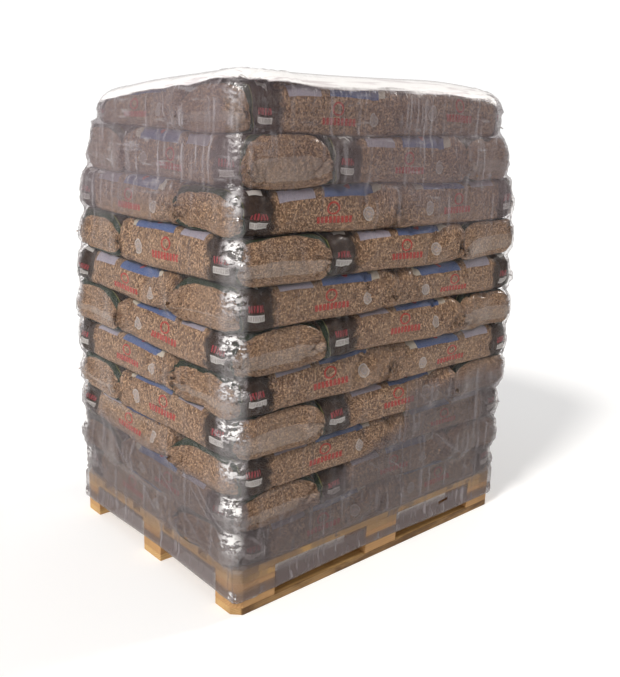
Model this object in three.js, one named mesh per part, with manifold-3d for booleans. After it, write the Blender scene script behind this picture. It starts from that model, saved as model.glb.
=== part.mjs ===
// A pallet of sacks: sixty-six filled sacks in eleven crossed layers on a wooden block pallet,
// wrapped in clear film.
// Millimetres, +Z up. The origin is at the middle of the pallet's footprint, on the floor.
// The 1200 mm side of the pallet runs along X and the 900 mm side along Y.

import * as THREE from 'three';
import * as BufferGeometryUtils from 'three/addons/utils/BufferGeometryUtils.js';
import Module from 'manifold-3d';

const wasm = await Module();
wasm.setup();

// Pallet
const palletLength = 1200;
const palletWidth = 900;
const boardThickness = 22;
const blockHeight = 78;
const blockLength = 145;
const blockWidth = 100;
const deckBoardWidth = 145;
const deckBoardCount = 5;
const cornerChamfer = 27;
const boardDivisions = 5;

// Sacks: a layer is two sack lengths long and one and a half sack lengths wide
const layerCount = 11;
const lowestLayerHeight = 113;
const heightGrowth = 0.26;
const topLayerSwell = 14;
const widestHalfLength = 619;
const widestLayer = 4;
const lowerTaper = 0.7;
const upperTaper = 1.25;
const sackCornerRadius = 50;
const sackEdgeInset = 26;
const sackEdgeShare = 0.32;
const sackSqueeze = 1;
const restGap = 0.3;

// The load's rounded top, as [draw-in, drop, corner radius] from its widest band to its flat middle
const shoulder = [
  [0, 100, 52],
  [6, 66, 56],
  [22, 34, 66],
  [55, 10, 84],
  [110, 0, 100],
];

// The corners of the top layer slump under the film, each by its own share of the layer's height.
// Each is [side in x, side in y, share, reach].
const slumps = [
  [-1, 1, 0.62, 270],
  [1, -1, 0.6, 110],
  [1, 1, 0.6, 190],
  [-1, -1, 0.08, 100],
];
const sideStops = [0.14, 0.34, 0.66, 0.86];

// Film
const filmThickness = 1.2;
const filmGap = 0.6;
const filmTopGap = 2;
const filmBottom = 50;
const filmPullIn = 9;
const filmCrown = 9;
const filmFootRadius = 20;
const filmFootRise = 6;

const cornerSteps = 2;
const widthShare = palletWidth / palletLength;
const palletHeight = 3 * boardThickness + blockHeight;

const pine = new THREE.MeshStandardMaterial({ color: 0xd2ab6b, roughness: 0.75, metalness: 0 });
const pineBlock = new THREE.MeshStandardMaterial({ color: 0xc89a55, roughness: 0.8, metalness: 0 });
const filledSack = new THREE.MeshStandardMaterial({ color: 0xa98763, roughness: 0.45, metalness: 0 });
const clearFilm = new THREE.MeshStandardMaterial({
  color: 0xe4e2e6,
  roughness: 0.15,
  metalness: 0,
  transparent: true,
  opacity: 0.3,
});

const pallet = new THREE.Group();
const load = new THREE.Group();

// Points of a rectangle with rounded corners, anticlockwise from the start of its (+X, +Y) corner. The
// straight sides have points of their own only where stops gives them, as shares of their length.
function roundedOutline(halfLength, halfWidth, radius, stops = []) {
  const points = [];
  for (let corner = 0; corner < 4; corner += 1) {
    const signX = corner === 0 || corner === 3 ? 1 : -1;
    const signY = corner < 2 ? 1 : -1;
    for (let step = 0; step <= cornerSteps; step += 1) {
      const angle = (corner + step / cornerSteps) * Math.PI / 2;
      points.push(new THREE.Vector2(
        signX * (halfLength - radius) + radius * Math.cos(angle),
        signY * (halfWidth - radius) + radius * Math.sin(angle),
      ));
    }
  }
  const perCorner = cornerSteps + 1;
  return points.flatMap((point, index) => {
    if (index % perCorner !== cornerSteps) {
      return [point];
    }
    const next = points[(index + 1) % points.length];
    return [point, ...stops.map((share) => point.clone().lerp(next, share))];
  });
}

function addMesh(group, name, geometry, material) {
  const mesh = new THREE.Mesh(geometry, material);
  mesh.name = name;
  group.add(mesh);
  return mesh;
}

// A sawn piece, whose corners are cut off where they are corners of the pallet. A long piece away from
// them is divided along its length, so that its underside has faces of its own over the fork pockets.
function sawnPiece(name, centreX, centreY, lengthX, lengthY, bottom, height, material) {
  const corners = [[1, -1], [1, 1], [-1, 1], [-1, -1]];
  const points = corners.flatMap(([signX, signY], index) => {
    const x = centreX + signX * lengthX / 2;
    const y = centreY + signY * lengthY / 2;
    if (Math.abs(x) !== palletLength / 2 || Math.abs(y) !== palletWidth / 2) {
      return [new THREE.Vector2(x, y)];
    }
    const cut = [
      new THREE.Vector2(x - signX * cornerChamfer, y),
      new THREE.Vector2(x, y - signY * cornerChamfer),
    ];
    return index % 2 === 0 ? cut : cut.reverse();
  });
  let geometry = new THREE.ExtrudeGeometry(new THREE.Shape(points), { depth: height, bevelEnabled: false });
  if (points.length === corners.length) {
    const divisions = [lengthX, lengthY].map((length) => (length > 2 * blockLength ? boardDivisions : 1));
    geometry = new THREE.BoxGeometry(lengthX, lengthY, height, ...divisions);
    geometry.translate(centreX, centreY, height / 2);
  }
  const piece = addMesh(pallet, name, geometry, material);
  piece.position.z = bottom;
}

const rowY = palletWidth / 2 - blockWidth / 2;
const columnX = palletLength / 2 - blockLength / 2;
const rows = [['front', -rowY], ['middle', 0], ['back', rowY]];
const columns = [['left', -columnX], ['centre', 0], ['right', columnX]];

// Three runners lie on the floor along the length of the pallet
function addBottomBoards() {
  rows.forEach(([rowName, y]) => {
    sawnPiece(`bottom_board_${rowName}`, 0, y, palletLength, blockWidth, 0, boardThickness, pine);
  });
}

// Nine blocks leave the four-way fork pockets between them
function addBlocks() {
  rows.forEach(([rowName, y]) => {
    columns.forEach(([columnName, x]) => {
      const name = `block_${rowName}_${columnName}`;
      sawnPiece(name, x, y, blockLength, blockWidth, boardThickness, blockHeight, pineBlock);
    });
  });
}

// Three boards cross the blocks, and the deck boards lie on them
function addCrossBoards() {
  columns.forEach(([columnName, x]) => {
    const bottom = boardThickness + blockHeight;
    sawnPiece(`cross_board_${columnName}`, x, 0, blockLength, palletWidth, bottom, boardThickness, pine);
  });
}

function addDeckBoards() {
  const pitch = (palletWidth - deckBoardWidth) / (deckBoardCount - 1);
  for (let index = 0; index < deckBoardCount; index += 1) {
    const y = -palletWidth / 2 + deckBoardWidth / 2 + index * pitch;
    const bottom = 2 * boardThickness + blockHeight;
    sawnPiece(`deck_board_${index + 1}`, 0, y, palletLength, deckBoardWidth, bottom, boardThickness, pine);
  }
}

// Layers are counted from the pallet up. The lower ones are pressed flatter, and the stack draws in
// towards the top, whose sacks carry nothing and swell.
function layerHeight(layer) {
  const swell = layer === layerCount - 1 ? topLayerSwell : 0;
  return lowestLayerHeight + heightGrowth * layer * layer + swell;
}

function layerBottom(layer) {
  let bottom = palletHeight;
  for (let below = 0; below < layer; below += 1) {
    bottom += layerHeight(below);
  }
  return bottom;
}

function layerHalfLength(layer) {
  const rate = layer < widestLayer ? lowerTaper : upperTaper;
  return widestHalfLength - rate * (layer - widestLayer) ** 2;
}

// One filled sack: a rounded plan with its edges rolled over at the top and the bottom
function sackGeometry(lengthX, lengthY, height, centreX, centreY, bottom) {
  const outline = roundedOutline(lengthX / 2 + sackSqueeze, lengthY / 2 + sackSqueeze, sackCornerRadius);
  const edge = sackEdgeShare * height;
  const geometry = new THREE.ExtrudeGeometry(new THREE.Shape(outline), {
    depth: height - 2 * edge,
    bevelEnabled: true,
    bevelThickness: edge,
    bevelSize: sackEdgeInset,
    bevelOffset: -sackEdgeInset,
    bevelSegments: 2,
  });
  geometry.translate(centreX, centreY, bottom + edge);
  return geometry;
}

function toManifold(geometry) {
  const bare = geometry.clone();
  bare.deleteAttribute('normal');
  bare.deleteAttribute('uv');
  const merged = BufferGeometryUtils.mergeVertices(bare, 1e-3);
  return new wasm.Manifold(new wasm.Mesh({
    numProp: 3,
    vertProperties: new Float32Array(merged.attributes.position.array),
    triVerts: new Uint32Array(merged.index.array),
  }));
}

function toGeometry(manifold) {
  const mesh = manifold.getMesh();
  const geometry = new THREE.BufferGeometry();
  geometry.setAttribute('position', new THREE.BufferAttribute(mesh.vertProperties, 3));
  geometry.setIndex(new THREE.BufferAttribute(mesh.triVerts, 1));
  return geometry;
}

// Six sacks fill a layer: two end to end on one long side, then one across at each end and two between them.
// Every second layer is turned over, so that the sacks bind. A sack's place is [x, y, length x, length y].
function sackPlaces(layer) {
  const long = layerHalfLength(layer);
  const short = long / 2;
  const side = layer % 2 === 0 ? -1 : 1;
  return [
    [-short, side * short, long, short],
    [short, side * short, long, short],
    [-1.5 * short, -side * short / 2, short, long],
    [1.5 * short, -side * short / 2, short, long],
    [0, 0, long, short],
    [0, -side * short, long, short],
  ];
}

// How far a point of the top layer or of the film over it slumps. The place is taken on the sacks' own
// outline, so that the film, which is larger by growth, slumps as they do.
function slumped(point, half, height, growth) {
  const base = layerBottom(layerCount - 1);
  const cornerX = layerHalfLength(layerCount - 1);
  const fit = half === 0 ? 1 : (half - growth) / half;
  const share = slumps.reduce((total, [signX, signY, depth, reach]) => {
    const away = Math.hypot(point.x * fit - signX * cornerX, point.y * fit - signY * cornerX * widthShare);
    return total + depth * Math.exp(-away / reach);
  }, 0);
  return height <= base ? height : base + (height - base) * (1 - share);
}

// A lathe gives a round body, and each of its rings is then laid out on the rounded plan of the load. The
// profile is a list of [half length, height, corner radius, growth over the sacks], upwards on the outside.
function plannedLathe(profile) {
  const geometry = new THREE.LatheGeometry(
    profile.map(([half, height]) => new THREE.Vector2(half, height)),
    4 * (cornerSteps + 1 + sideStops.length),
  );
  const positions = geometry.attributes.position;
  for (let index = 0; index < positions.count; index += 1) {
    const [half, height, radius, growth] = profile[index % profile.length];
    const outline = roundedOutline(half, half * widthShare, radius, sideStops);
    const point = outline[Math.floor(index / profile.length) % outline.length];
    positions.setXYZ(index, point.x, point.y, slumped(point, half, height, growth));
  }
  return geometry;
}

function shoulderProfile(halfLength, top, growth) {
  return shoulder.map(([drawIn, drop, radius]) => [halfLength - drawIn, top - drop, radius, growth]);
}

// The room that the top layer's sacks fill under the film
function roundedTop(bottom, top) {
  const half = layerHalfLength(layerCount - 1) + sackSqueeze;
  return plannedLathe([
    [0, bottom, 0, 0],
    [half, bottom, sackCornerRadius, 0],
    ...shoulderProfile(half, top, 0),
    [0, top, 0, 0],
  ]);
}

// The sacks of one layer press on each other at half height and part above and below it
function addSackLayer(layer) {
  const height = layerHeight(layer) - restGap;
  const bottom = layerBottom(layer) + restGap;
  const sacks = sackPlaces(layer).map(([x, y, lengthX, lengthY]) => (
    toManifold(sackGeometry(lengthX, lengthY, height, x, y, bottom))
  ));
  let solid = sacks.reduce((joined, sack) => joined.add(sack));
  if (layer === layerCount - 1) {
    solid = solid.intersect(toManifold(roundedTop(bottom, bottom + height)));
  }
  const number = String(layer + 1).padStart(2, '0');
  addMesh(load, `sack_layer_${number}`, toGeometry(solid), filledSack);
}

// The film's inner profile, from its lower edge to the middle of the top. It spans the widest band of each
// layer, and is drawn in by filmPullIn where two layers meet.
function filmProfile() {
  const clear = sackSqueeze + filmGap;
  const drawnRadius = sackCornerRadius - filmPullIn;
  const foot = palletLength / 2 + filmGap;
  const profile = [
    [foot, filmBottom, filmFootRadius, filmGap],
    [foot, palletHeight, filmFootRadius, filmGap],
    [layerHalfLength(0) + clear - filmPullIn, palletHeight + filmFootRise, drawnRadius, filmGap],
  ];
  for (let layer = 0; layer < layerCount; layer += 1) {
    const half = layerHalfLength(layer) + clear;
    const height = layerHeight(layer);
    const bottom = layerBottom(layer);
    const edge = sackEdgeShare * height;
    profile.push([half, bottom + edge, sackCornerRadius, filmGap]);
    if (layer < layerCount - 1) {
      const next = layerHalfLength(layer + 1) + clear;
      profile.push([half, bottom + height - edge, sackCornerRadius, filmGap]);
      profile.push([Math.max(half, next) - filmPullIn, bottom + height, drawnRadius, filmGap]);
    }
  }
  const top = layerBottom(layerCount) + filmTopGap;
  const half = layerHalfLength(layerCount - 1) + clear;
  profile.push(...shoulderProfile(half, top, filmGap), [0, top + filmCrown, 0, filmGap]);
  return profile;
}

// The film is its outer form less its inner one. The outer rings step out where the film is steep and up
// where it is flat.
function addFilm() {
  const inner = filmProfile();
  const outer = inner.map(([half, height, radius, growth], index) => {
    const rise = index >= inner.length - shoulder.length ? filmThickness : 0;
    const spread = half === 0 ? 0 : filmThickness;
    return [half + spread, height + rise, radius + spread, growth + spread];
  });
  const [[foot, , footRadius]] = inner;
  const below = filmBottom - filmThickness;
  const hollow = [[0, below, 0, 0], [foot, below, footRadius, 0], ...inner.slice(1)];
  const full = [[0, filmBottom, 0, 0], ...outer];
  const film = toManifold(plannedLathe(full)).subtract(toManifold(plannedLathe(hollow)));
  addMesh(load, 'stretch_film', toGeometry(film), clearFilm);
}

addBottomBoards();
addBlocks();
addCrossBoards();
addDeckBoards();
for (let layer = 0; layer < layerCount; layer += 1) {
  addSackLayer(layer);
}
addFilm();

const group = new THREE.Group();
group.add(pallet, load);

export default group;
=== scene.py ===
import math
import time

import bmesh
import bpy
import numpy as np
from mathutils import Matrix, Vector, noise
from mathutils.bvhtree import BVHTree


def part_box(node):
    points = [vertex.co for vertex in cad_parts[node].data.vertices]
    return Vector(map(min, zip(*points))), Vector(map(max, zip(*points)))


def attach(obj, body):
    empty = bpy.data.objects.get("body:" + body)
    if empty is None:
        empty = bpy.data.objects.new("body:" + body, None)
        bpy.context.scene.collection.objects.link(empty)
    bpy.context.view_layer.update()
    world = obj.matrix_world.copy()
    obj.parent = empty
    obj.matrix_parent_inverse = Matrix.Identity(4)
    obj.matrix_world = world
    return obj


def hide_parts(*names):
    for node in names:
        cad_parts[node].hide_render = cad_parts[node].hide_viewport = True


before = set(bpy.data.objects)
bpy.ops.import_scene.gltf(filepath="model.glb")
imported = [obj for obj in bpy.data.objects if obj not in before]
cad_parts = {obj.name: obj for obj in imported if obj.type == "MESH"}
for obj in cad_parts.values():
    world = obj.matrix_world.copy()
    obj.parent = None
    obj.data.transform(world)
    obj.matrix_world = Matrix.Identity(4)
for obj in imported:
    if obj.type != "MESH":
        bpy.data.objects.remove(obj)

# A pallet of sacks: sixty-six clear sacks of wood pellets in eleven crossed layers, wrapped in clear film.
# Metres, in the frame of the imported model: +Z up, the 1200 mm side of the pallet along X.

startTime = time.time()
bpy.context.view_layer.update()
scene = bpy.context.scene
noise.seed_set(1)  # without it, Blender's noise vectors differ from run to run


def report(stage):
    print(f"{stage}: {time.time() - startTime:.1f} s")


# Camera: where the photograph was taken from, and how it was held
cameraView = {
    "place": (-1.8656, -2.1145, 1.4115),
    "yaw": 47.709,  # degrees from +X towards +Y
    "pitch": 15.316,  # degrees down
    "roll": 2.134,
    "lens": 44.17,
}


def addCamera(values):
    yaw, pitch, roll = (math.radians(values[key]) for key in ("yaw", "pitch", "roll"))
    ahead = Vector((math.cos(pitch) * math.cos(yaw), math.cos(pitch) * math.sin(yaw), -math.sin(pitch)))
    right = Vector((math.sin(yaw), -math.cos(yaw), 0))
    up = right.cross(ahead)
    turnedRight = math.cos(roll) * right + math.sin(roll) * up
    turnedUp = math.cos(roll) * up - math.sin(roll) * right
    camera = bpy.data.objects.new("camera", bpy.data.cameras.new("camera"))
    scene.collection.objects.link(camera)
    camera.data.lens = values["lens"]
    camera.data.clip_end = 200
    axes = Matrix((turnedRight, turnedUp, -ahead)).transposed().to_4x4()
    camera.matrix_world = Matrix.Translation(values["place"]) @ axes
    scene.camera = camera


addCamera(cameraView)


# Shader sums are written as Python expressions on wires
class Wire:
    def __init__(self, paint, socket):
        self.paint = paint
        self.socket = socket

    def __add__(self, other):
        return self.paint.maths("ADD", self, other)

    __radd__ = __add__

    def __sub__(self, other):
        return self.paint.maths("SUBTRACT", self, other)

    def __rsub__(self, other):
        return self.paint.maths("SUBTRACT", other, self)

    def __mul__(self, other):
        return self.paint.maths("MULTIPLY", self, other)

    __rmul__ = __mul__

    def __truediv__(self, other):
        return self.paint.maths("DIVIDE", self, other)

    def __rtruediv__(self, other):
        return self.paint.maths("DIVIDE", other, self)

    def __pow__(self, other):
        return self.paint.maths("POWER", self, other)

    def __gt__(self, other):
        return self.paint.maths("GREATER_THAN", self, other)

    def __lt__(self, other):
        return self.paint.maths("LESS_THAN", self, other)

    def __abs__(self):
        return self.paint.maths("ABSOLUTE", self)


class Paint:
    def __init__(self, name, store="materials"):
        self.owner = getattr(bpy.data, store).new(name)
        self.owner.use_nodes = True
        self.nodes = self.owner.node_tree.nodes
        self.links = self.owner.node_tree.links
        self.nodes.clear()

    # A node of one kind. Its settings are set first, and then its sockets get their values or links
    def add(self, kind, settings=None, inputs=None, outputs=(0,)):
        node = self.nodes.new(kind)
        for key, value in (settings or {}).items():
            if key == "stops":
                self.setStops(node.color_ramp, value)
            else:
                setattr(node, key, value)
        for key, value in (inputs or {}).items():
            socket = self.findSocket(node, key)
            if isinstance(value, Wire):
                self.links.new(value.socket, socket)
            else:
                socket.default_value = value
        wires = [Wire(self, node.outputs[key]) for key in outputs]
        return wires[0] if len(wires) == 1 else wires

    def findSocket(self, node, key):
        if isinstance(key, int):
            return node.inputs[key]
        for socket in node.inputs:
            if socket.identifier == key:
                return socket
        return node.inputs[key]

    def setStops(self, ramp, stops):
        while len(ramp.elements) < len(stops):
            ramp.elements.new(1)
        for element, (position, colour) in zip(ramp.elements, stops):
            element.position = position
            element.color = (*colour, 1)

    def maths(self, operation, first, second=0.0):
        return self.add("ShaderNodeMath", {"operation": operation}, {0: first, 1: second})

    def vector(self, operation, first, second):
        return self.add("ShaderNodeVectorMath", {"operation": operation}, {0: first, 1: second})

    def scaled(self, vector, factor):
        return self.add("ShaderNodeVectorMath", {"operation": "SCALE"}, {0: vector, "Scale": factor})

    def combine(self, x, y, z):
        return self.add("ShaderNodeCombineXYZ", None, {0: x, 1: y, 2: z})

    def separate(self, vector):
        return self.add("ShaderNodeSeparateXYZ", None, {0: vector}, (0, 1, 2))

    def mixColour(self, factor, first, second, blend="MIX"):
        first, second = ((*c, 1) if isinstance(c, tuple) else c for c in (first, second))
        inputs = {"Factor_Float": factor, "A_Color": first, "B_Color": second}
        return self.add("ShaderNodeMix", {"data_type": "RGBA", "blend_type": blend}, inputs, (2,))

    # Coats of colour one over another, each where its mask is 1
    def coats(self, colour, *coats):
        for mask, tone in coats:
            colour = self.mixColour(mask, colour, tone)
        return colour

    # 0 below low, 1 above high, and smooth between them. It falls where low is above high
    def rise(self, value, low, high):
        if low > high:
            return 1 - self.rise(value, high, low)
        inputs = {"Value": value, "From Min": low, "From Max": high}
        return self.add("ShaderNodeMapRange", {"interpolation_type": "SMOOTHSTEP"}, inputs)

    # 1 between low and high, with edges of the given softness
    def between(self, value, low, high, soft=0.0006):
        return self.rise(value, low - soft, low + soft) * self.rise(value, high + soft, high - soft)

    # 1 in a rectangle, given as its start and end along u, and then along v
    def inside(self, u, v, rectangle, soft=0.0006):
        return self.between(u, *rectangle[:2], soft) * self.between(v, *rectangle[2:], soft)

    def distance(self, x, y):
        return self.maths("SQRT", x ** 2 + y ** 2)

    def larger(self, first, second):
        return self.maths("MAXIMUM", first, second)

    def smaller(self, first, second):
        return self.maths("MINIMUM", first, second)

    def noise(self, vector, scale, detail=3.0, roughness=0.5):
        inputs = {"Vector": vector, "Scale": scale, "Detail": detail, "Roughness": roughness}
        return self.add("ShaderNodeTexNoise", None, inputs)

    def objectPlace(self):
        return self.add("ShaderNodeTexCoord", None, None, ("Object",))

    def attribute(self, name, output="Fac"):
        return self.add("ShaderNodeAttribute", {"attribute_name": name}, None, (output,))

    def uvMap(self, name):
        return self.add("ShaderNodeUVMap", {"uv_map": name})

    def bump(self, height, distance, strength=1.0):
        inputs = {"Height": height, "Distance": distance, "Strength": strength}
        return self.add("ShaderNodeBump", None, inputs)

    def principled(self, inputs):
        return self.add("ShaderNodeBsdfPrincipled", None, inputs)

    def finish(self, shader, output="ShaderNodeOutputMaterial"):
        self.add(output, None, {"Surface": shader}, ())
        return self.owner


def linkPiece(name, mesh, body="root"):
    piece = bpy.data.objects.new(name, mesh)
    scene.collection.objects.link(piece)
    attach(piece, body)
    return piece


def getPoints(mesh):
    points = np.empty(len(mesh.vertices) * 3)
    mesh.vertices.foreach_get("co", points)
    return points.reshape(-1, 3)


def setPoints(mesh, points):
    mesh.vertices.foreach_set("co", np.ascontiguousarray(points).ravel())
    mesh.update()


def smoothStep(values, low, high):
    t = np.clip((values - low) / (high - low), 0, 1)
    return t * t * (3 - 2 * t)


# Pallet
palletWood = {
    "edgeWear": 0.0016,
    "sawnRoughness": 0.0006,
    "unevenness": 9,  # waves of the sawn faces in a metre
    "flatBelow": 0.004,  # what lies on the floor stays flat
    "cellLength": 0.05,
    "ringsPerMetre": 150,
    "knotsPerMetre": (2.6, 5.5),  # along and across the grain
    "stain": (0.3, 0.165, 0.06),
    "knot": (0.15, 0.065, 0.028),
    "fibre": (0.25, 0.15, 0.08),
    # Colour of the dirt and painted shade on the long sides, near the floor
    "dirtAndShade": (0.2, 0.135, 0.035),
    "dirtAndShadeSide": (0.443, 0.449),  # how far out the dirt and painted shade begin, and where they are full
    "dirtAndShadeHeight": (0.1, 0.05),
    "kinds": {
        "board": {"pale": (0.61, 0.395, 0.165), "dark": (0.38, 0.2, 0.066), "knotSize": 0.13, "dirtAndShade": 0.95},
        "block": {"pale": (0.5, 0.285, 0.115), "dark": (0.36, 0.185, 0.066), "knotSize": 0.11, "dirtAndShade": 0.12},
    },
}


def woodMaterial(name, pale, dark, knotSize, dirtAndShade):
    look = palletWood
    paint = Paint(name)
    grain = paint.attribute("grain", "Vector")
    along, across, up = paint.separate(grain)

    def stretched(perMetreAlong, perMetreAcross):
        return paint.combine(along * perMetreAlong, across * perMetreAcross, up * perMetreAcross)

    slow = paint.noise(stretched(1.2, 9), 1.0, 3)
    fibre = paint.noise(stretched(14, 700), 1.0, 2, 0.6)
    stain = paint.noise(grain, 11.0, 4, 0.65)
    patch = paint.noise(stretched(6, 25), 1.0, 4, 0.6)
    cells = {"Vector": stretched(*look["knotsPerMetre"]), "Scale": 1.0}
    fromKnot = paint.add("ShaderNodeTexVoronoi", {"feature": "F1"}, cells, ("Distance",))
    knot = paint.rise(fromKnot, knotSize, knotSize * 0.35)
    # Year rings round the heart of the trunk, which bend round the knots
    wander = slow * 0.05 + knot * 0.03
    fromHeart = paint.distance(across + wander, up + wander * 0.6)
    rings = paint.maths("SINE", fromHeart * look["ringsPerMetre"] * math.tau + slow * 5)
    ring = paint.rise(rings, -0.9, 0.95)
    colour = paint.coats(
        paint.mixColour(ring * 0.55 + fibre * 0.3, pale, dark),
        (paint.rise(stain, 0.48, 0.68) * 0.6, look["stain"]),
        (knot, look["knot"]),
        (paint.rise(fibre, 0.62, 0.72) * 0.35, look["fibre"]),
    )
    # The long sides are darker in patches, most of all near the floor: dirt, and painted shade low down
    sideways, height = paint.separate(paint.objectPlace())[1:]
    dirtAndShadeMask = paint.rise(abs(sideways), *look["dirtAndShadeSide"])
    dirtAndShadeMask = dirtAndShadeMask * (0.4 + 0.6 * paint.rise(height, *look["dirtAndShadeHeight"]))
    dirtAndShadeMask = dirtAndShadeMask * (0.6 + 0.4 * paint.rise(patch, 0.4, 0.6)) * dirtAndShade
    return paint.finish(paint.principled({
        "Base Color": paint.mixColour(dirtAndShadeMask, colour, look["dirtAndShade"], "MULTIPLY"),
        "Roughness": 0.62 + fibre * 0.2,
        "Normal": paint.bump(ring * 0.25 + fibre * 0.6 - knot * 0.4, 0.0012, 0.8),
    }))


# Cuts a board across into short cells, so that its long faces can be uneven
def cutInCells(bm, low, length, longAxis):
    cuts = int(length / palletWood["cellLength"])
    normal = Vector((0, 0, 0))
    normal[longAxis] = 1
    for cut in range(1, cuts):
        place = low.copy()
        place[longAxis] += length * cut / cuts
        geometry = bm.verts[:] + bm.edges[:] + bm.faces[:]
        bmesh.ops.bisect_plane(bm, geom=geometry, plane_co=place, plane_no=normal)


def dressWood(name, index, material):
    low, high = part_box(name)
    size = high - low
    longAxis = 0 if size.x > size.y else 1
    acrossAxis = 1 - longAxis
    bm = bmesh.new()
    bm.from_mesh(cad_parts[name].data)
    bmesh.ops.remove_doubles(bm, verts=bm.verts, dist=0.00005)
    bmesh.ops.dissolve_limit(bm, angle_limit=0.01, verts=bm.verts, edges=bm.edges)
    bmesh.ops.bevel(
        bm, geom=bm.edges, offset=palletWood["edgeWear"], offset_type="OFFSET", segments=2,
        profile=0.5, affect="EDGES", material=-1, clamp_overlap=True,
    )
    cutInCells(bm, low, size[longAxis], longAxis)
    shift = Vector((index * 1.37, index * 0.53, index * 2.11))
    for vert in bm.verts:
        wobble = noise.noise_vector(vert.co * palletWood["unevenness"] + shift) * palletWood["sawnRoughness"]
        if vert.co.z > palletWood["flatBelow"]:
            vert.co += wobble
    # Each piece is sawn from another part of the trunk
    grain = bm.verts.layers.float_vector.new("grain")
    heart = (-0.03 - 0.02 * (index * 7 % 5), -0.05 - 0.012 * (index * 3 % 4))
    for vert in bm.verts:
        vert[grain] = (
            vert.co[longAxis] + index * 1.7,
            vert.co[acrossAxis] - low[acrossAxis] + heart[0],
            vert.co.z - low.z + heart[1],
        )
    mesh = bpy.data.meshes.new(name + "_wood")
    bm.to_mesh(mesh)
    bm.free()
    mesh.materials.append(material)
    piece = linkPiece(name + "_wood", mesh)
    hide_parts(name)


woods = {kind: woodMaterial(f"sawn_pine_{kind}s", **look) for kind, look in palletWood["kinds"].items()}
woodNames = sorted(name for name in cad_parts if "board" in name or "block" in name)
for woodIndex, woodName in enumerate(woodNames):
    dressWood(woodName, woodIndex, woods["block" if woodName.startswith("block") else "board"])
report("pallet")


# Sacks
sackMake = {
    "flatLength": 0.735,  # the tube between its two welds
    "flatWidth": 0.415,
    "steps": (70, 76),  # along the tube and round it
    "plainSteps": (26, 28),  # of the sacks in the middle of the load
    "startSection": (0.07, 2.5),  # the opened tube's height, and the power that rounds its edges
    "fullSection": (0.126, 4),
    "openingLength": 0.12,  # from a weld to where the tube is fully open
    "narrowing": 0.05,
    "weldDrop": 0.01,
    "unevenness": 0.003,
    "bulge": 0.002,
    "shiftOut": 0.004,
    "turn": 0.5,  # degrees
    "undulation": 0.005,
    "sag": 0.3,
    "fullCorners": 0.08,
    "endStretch": 0.9,
    "stretchedLength": 0.075,
    "cornerRound": 0.085,  # of each layer's plan, and then of the two upper ones'
    "upperRound": (0.13, 0.165),
    "faceDepth": 0.15,  # how far inwards an outer face's bulge reaches
    "inset": 0.001,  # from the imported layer's sides
}
middleSack = 4
crossSacks = (2, 3)

# Each pressure blows up one shape of sack, and the stack repeats these shapes
press = {
    "pressures": (12, 18, 24, 30),
    "box": (0.640, 0.326, 0.126),
    "wallRoom": (0.02, 0.01),  # outside the empty tube's ends and sides
    "wallSize": 0.6,
    "frames": 28,
    "stillFrames": 4,  # before the walls close in, and again after
    "gap": 0.002,
    "friction": 2,
    "quality": 5,
    "mass": 0.15,
    "stiffness": 40,
    "bending": 0.3,
}


# One quarter of the opened tube's section, from its middle to its edge, at even steps of its own length
def tubeQuarter(height, edgePower):
    halfWidth = sackMake["flatWidth"] / 2
    y = halfWidth * np.sin(np.linspace(0, math.pi / 2, 400))
    z = height / 2 * np.sqrt(1 - (y / halfWidth) ** edgePower)
    run = np.concatenate(([0], np.cumsum(np.hypot(np.diff(y), np.diff(z)))))
    return run / run[-1], y, z


# A flat tube of film, welded at both ends and opened a little, ready to be filled
def startSack(seed, steps, section):
    flatLength, flatWidth = sackMake["flatLength"], sackMake["flatWidth"]
    run, quarterY, quarterZ = tubeQuarter(*section)
    bm = bmesh.new()
    bmesh.ops.create_grid(bm, x_segments=steps[0], y_segments=steps[1], size=0.5)
    printMap = bm.loops.layers.uv.new("print")
    for face in bm.faces:
        for loop in face.loops:
            x, y = loop.vert.co.xy
            loop[printMap].uv = ((x + 0.5) * flatLength, (y + 0.5) * 2 * flatWidth)
    shift = Vector((seed * 11.7, seed * 5.3, seed * 2.9))
    for vert in bm.verts:
        along = (vert.co.x + 0.5) * flatLength
        around = vert.co.y + 0.5
        fromEnd = min(along, flatLength - along)
        opening = math.sqrt(1 - (1 - min(1, fromEnd / sackMake["openingLength"])) ** 2)
        side = 1 if 0.25 < around < 0.75 else -1
        fromMiddle = around - 0.5 if side > 0 else around - round(around)
        share = abs(fromMiddle) / 0.25
        y = math.copysign(np.interp(share, run, quarterY), -side * fromMiddle)
        z = side * np.interp(share, run, quarterZ) * opening
        z -= sackMake["weldDrop"] * (1 - opening)
        vert.co = (along - flatLength / 2, y * (1 - sackMake["narrowing"] * opening), z)
    bmesh.ops.remove_doubles(bm, verts=bm.verts, dist=0.0005)
    bmesh.ops.recalc_face_normals(bm, faces=bm.faces)
    for vert in bm.verts:
        vert.co += noise.noise_vector(vert.co * 12 + shift) * sackMake["unevenness"]
    mesh = bpy.data.meshes.new("start_sack")
    bm.to_mesh(mesh)
    bm.free()
    sack = bpy.data.objects.new("start_sack", mesh)
    scene.collection.objects.link(sack)
    return sack


def addWall(centre, normal):
    bm = bmesh.new()
    bmesh.ops.create_grid(bm, x_segments=1, y_segments=1, size=press["wallSize"])
    turn = Vector((0, 0, 1)).rotation_difference(Vector(normal)).to_matrix().to_4x4()
    bmesh.ops.transform(bm, matrix=Matrix.Translation(centre) @ turn, verts=bm.verts)
    mesh = bpy.data.meshes.new("press_wall")
    bm.to_mesh(mesh)
    bm.free()
    wall = bpy.data.objects.new("press_wall", mesh)
    scene.collection.objects.link(wall)
    wall.modifiers.new("Collision", "COLLISION")
    wall.collision.thickness_outer = press["gap"]
    wall.collision.cloth_friction = press["friction"]
    return wall


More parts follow.
